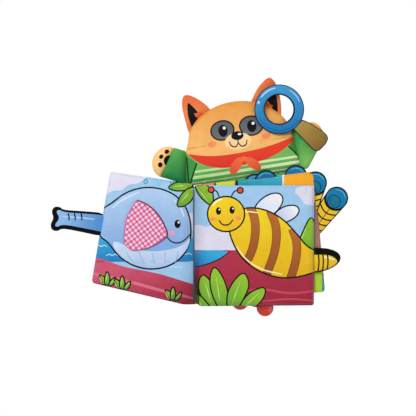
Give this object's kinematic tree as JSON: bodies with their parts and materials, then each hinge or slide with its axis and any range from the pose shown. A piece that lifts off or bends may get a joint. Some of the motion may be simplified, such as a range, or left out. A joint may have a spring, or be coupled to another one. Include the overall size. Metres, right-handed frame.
{
  "type": "crinkle cloth book",
  "caption": "Padded cloth book lying open, with sewn-in cloth tabs, a lift-up flap, a stuffed head and shoulders, a cloth magnifying glass and a teether.",
  "frame": {"origin": "on the back cover's flat underside, below the middle of the right page", "axes": "+X away from the spine across the right page, +Y up the page, +Z out of the page"},
  "size_m": [0.3941, 0.3164, 0.0226],
  "materials": {
    "page_sky": "printed woven polyester, matt",
    "cloth_teal": "printed woven polyester, matt",
    "cloth_blue": "printed plush felt, matt",
    "gingham": "pink and white gingham cotton",
    "crimson_binding": "woven cotton tape",
    "cloth_crimson": "printed woven polyester, matt",
    "cloth_yellow": "printed felt, black edge",
    "cloth_orange": "printed woven polyester, matt",
    "cloth_lime": "printed woven polyester, matt",
    "cloth_green": "printed woven polyester, matt",
    "head_orange": "printed woven polyester, matt",
    "ear_red": "printed woven polyester, matt",
    "handle_olive": "printed felt, matt",
    "fan_blue": "printed felt, black edge",
    "wadding": "loose polyester wadding",
    "crinkle_film": "thin crackling film",
    "teether_red": "glossy moulded silicone"
  },
  "bodies": {
    "front_cover": {"front_cover_inner_cloth": "page_sky", "front_cover_outer_cloth": "cloth_teal", "front_cover_wadding": "wadding", "front_cover_crinkle_film": "crinkle_film", "tail_tab": "cloth_blue", "spine_cloth_front": "page_sky"},
    "gingham_flap": {"gingham_flap": "gingham", "flap_binding": "crimson_binding"},
    "leaf_one": {"leaf_one_front_cloth": "page_sky", "leaf_one_back_cloth": "cloth_crimson", "leaf_one_wadding": "wadding", "leaf_one_crinkle_film": "crinkle_film", "leaf_one_margin": "page_sky", "banded_tab": "cloth_yellow"},
    "leaf_two": {"leaf_two_front_cloth": "cloth_orange", "leaf_two_back_cloth": "cloth_lime", "leaf_two_wadding": "wadding", "leaf_two_crinkle_film": "crinkle_film", "leaf_two_margin": "page_sky", "fan_tab_1": "fan_blue", "fan_tab_2": "fan_blue", "fan_tab_3": "fan_blue", "fan_tab_4": "fan_blue", "fan_tab_5": "fan_blue"},
    "back_cover": {"back_cover_inner_cloth": "cloth_teal", "back_cover_outer_cloth": "cloth_green", "back_cover_wadding": "wadding", "back_cover_crinkle_film": "crinkle_film", "figure_front_cloth": "head_orange", "figure_back_cloth": "head_orange", "figure_wadding": "wadding", "figure_crinkle_film": "crinkle_film", "ear_left": "ear_red", "ear_right": "ear_red", "sleeve_left": "cloth_green", "sleeve_right": "cloth_green", "paw_left": "head_orange", "paw_right": "head_orange", "spine_cloth_back": "page_sky", "spine_seam": "cloth_blue", "teether_strap": "crimson_binding"},
    "magnifier": {"magnifier_ring": "cloth_blue", "magnifier_handle": "handle_olive"},
    "teether": {"teether": "teether_red"}
  },
  "joints": [
    {"name": "front_cover_turn", "type": "hinge", "parent": "back_cover", "child": "front_cover", "pos_m": [-0.084, 0, 0.01645], "axis": [0, 1, 0], "range_deg": [0, 178]},
    {"name": "leaf_two_turn", "type": "hinge", "parent": "back_cover", "child": "leaf_two", "pos_m": [-0.084, 0, 0.01645], "axis": [0, 1, 0], "range_deg": [-178, 0]},
    {"name": "leaf_one_turn", "type": "hinge", "parent": "leaf_two", "child": "leaf_one", "pos_m": [-0.084, 0, 0.01645], "axis": [0, -1, 0], "range_deg": [0, 178]},
    {"name": "gingham_flap_lift", "type": "hinge", "parent": "front_cover", "child": "gingham_flap", "pos_m": [-0.1745, 0.029, 0.0086], "axis": [-0.1805, -0.9836, 0], "range_deg": [0, 175]},
    {"name": "magnifier_lift", "type": "hinge", "parent": "back_cover", "child": "magnifier", "pos_m": [0.08848, 0.13311, 0.0116], "axis": [0.6428, 0.766, 0], "range_deg": [0, 120]},
    {"name": "teether_swing", "type": "hinge", "parent": "back_cover", "child": "teether", "pos_m": [-0.00451, -0.07563, 0.005], "axis": [0, 0, 1], "range_deg": [-5, 15]}
  ]
}
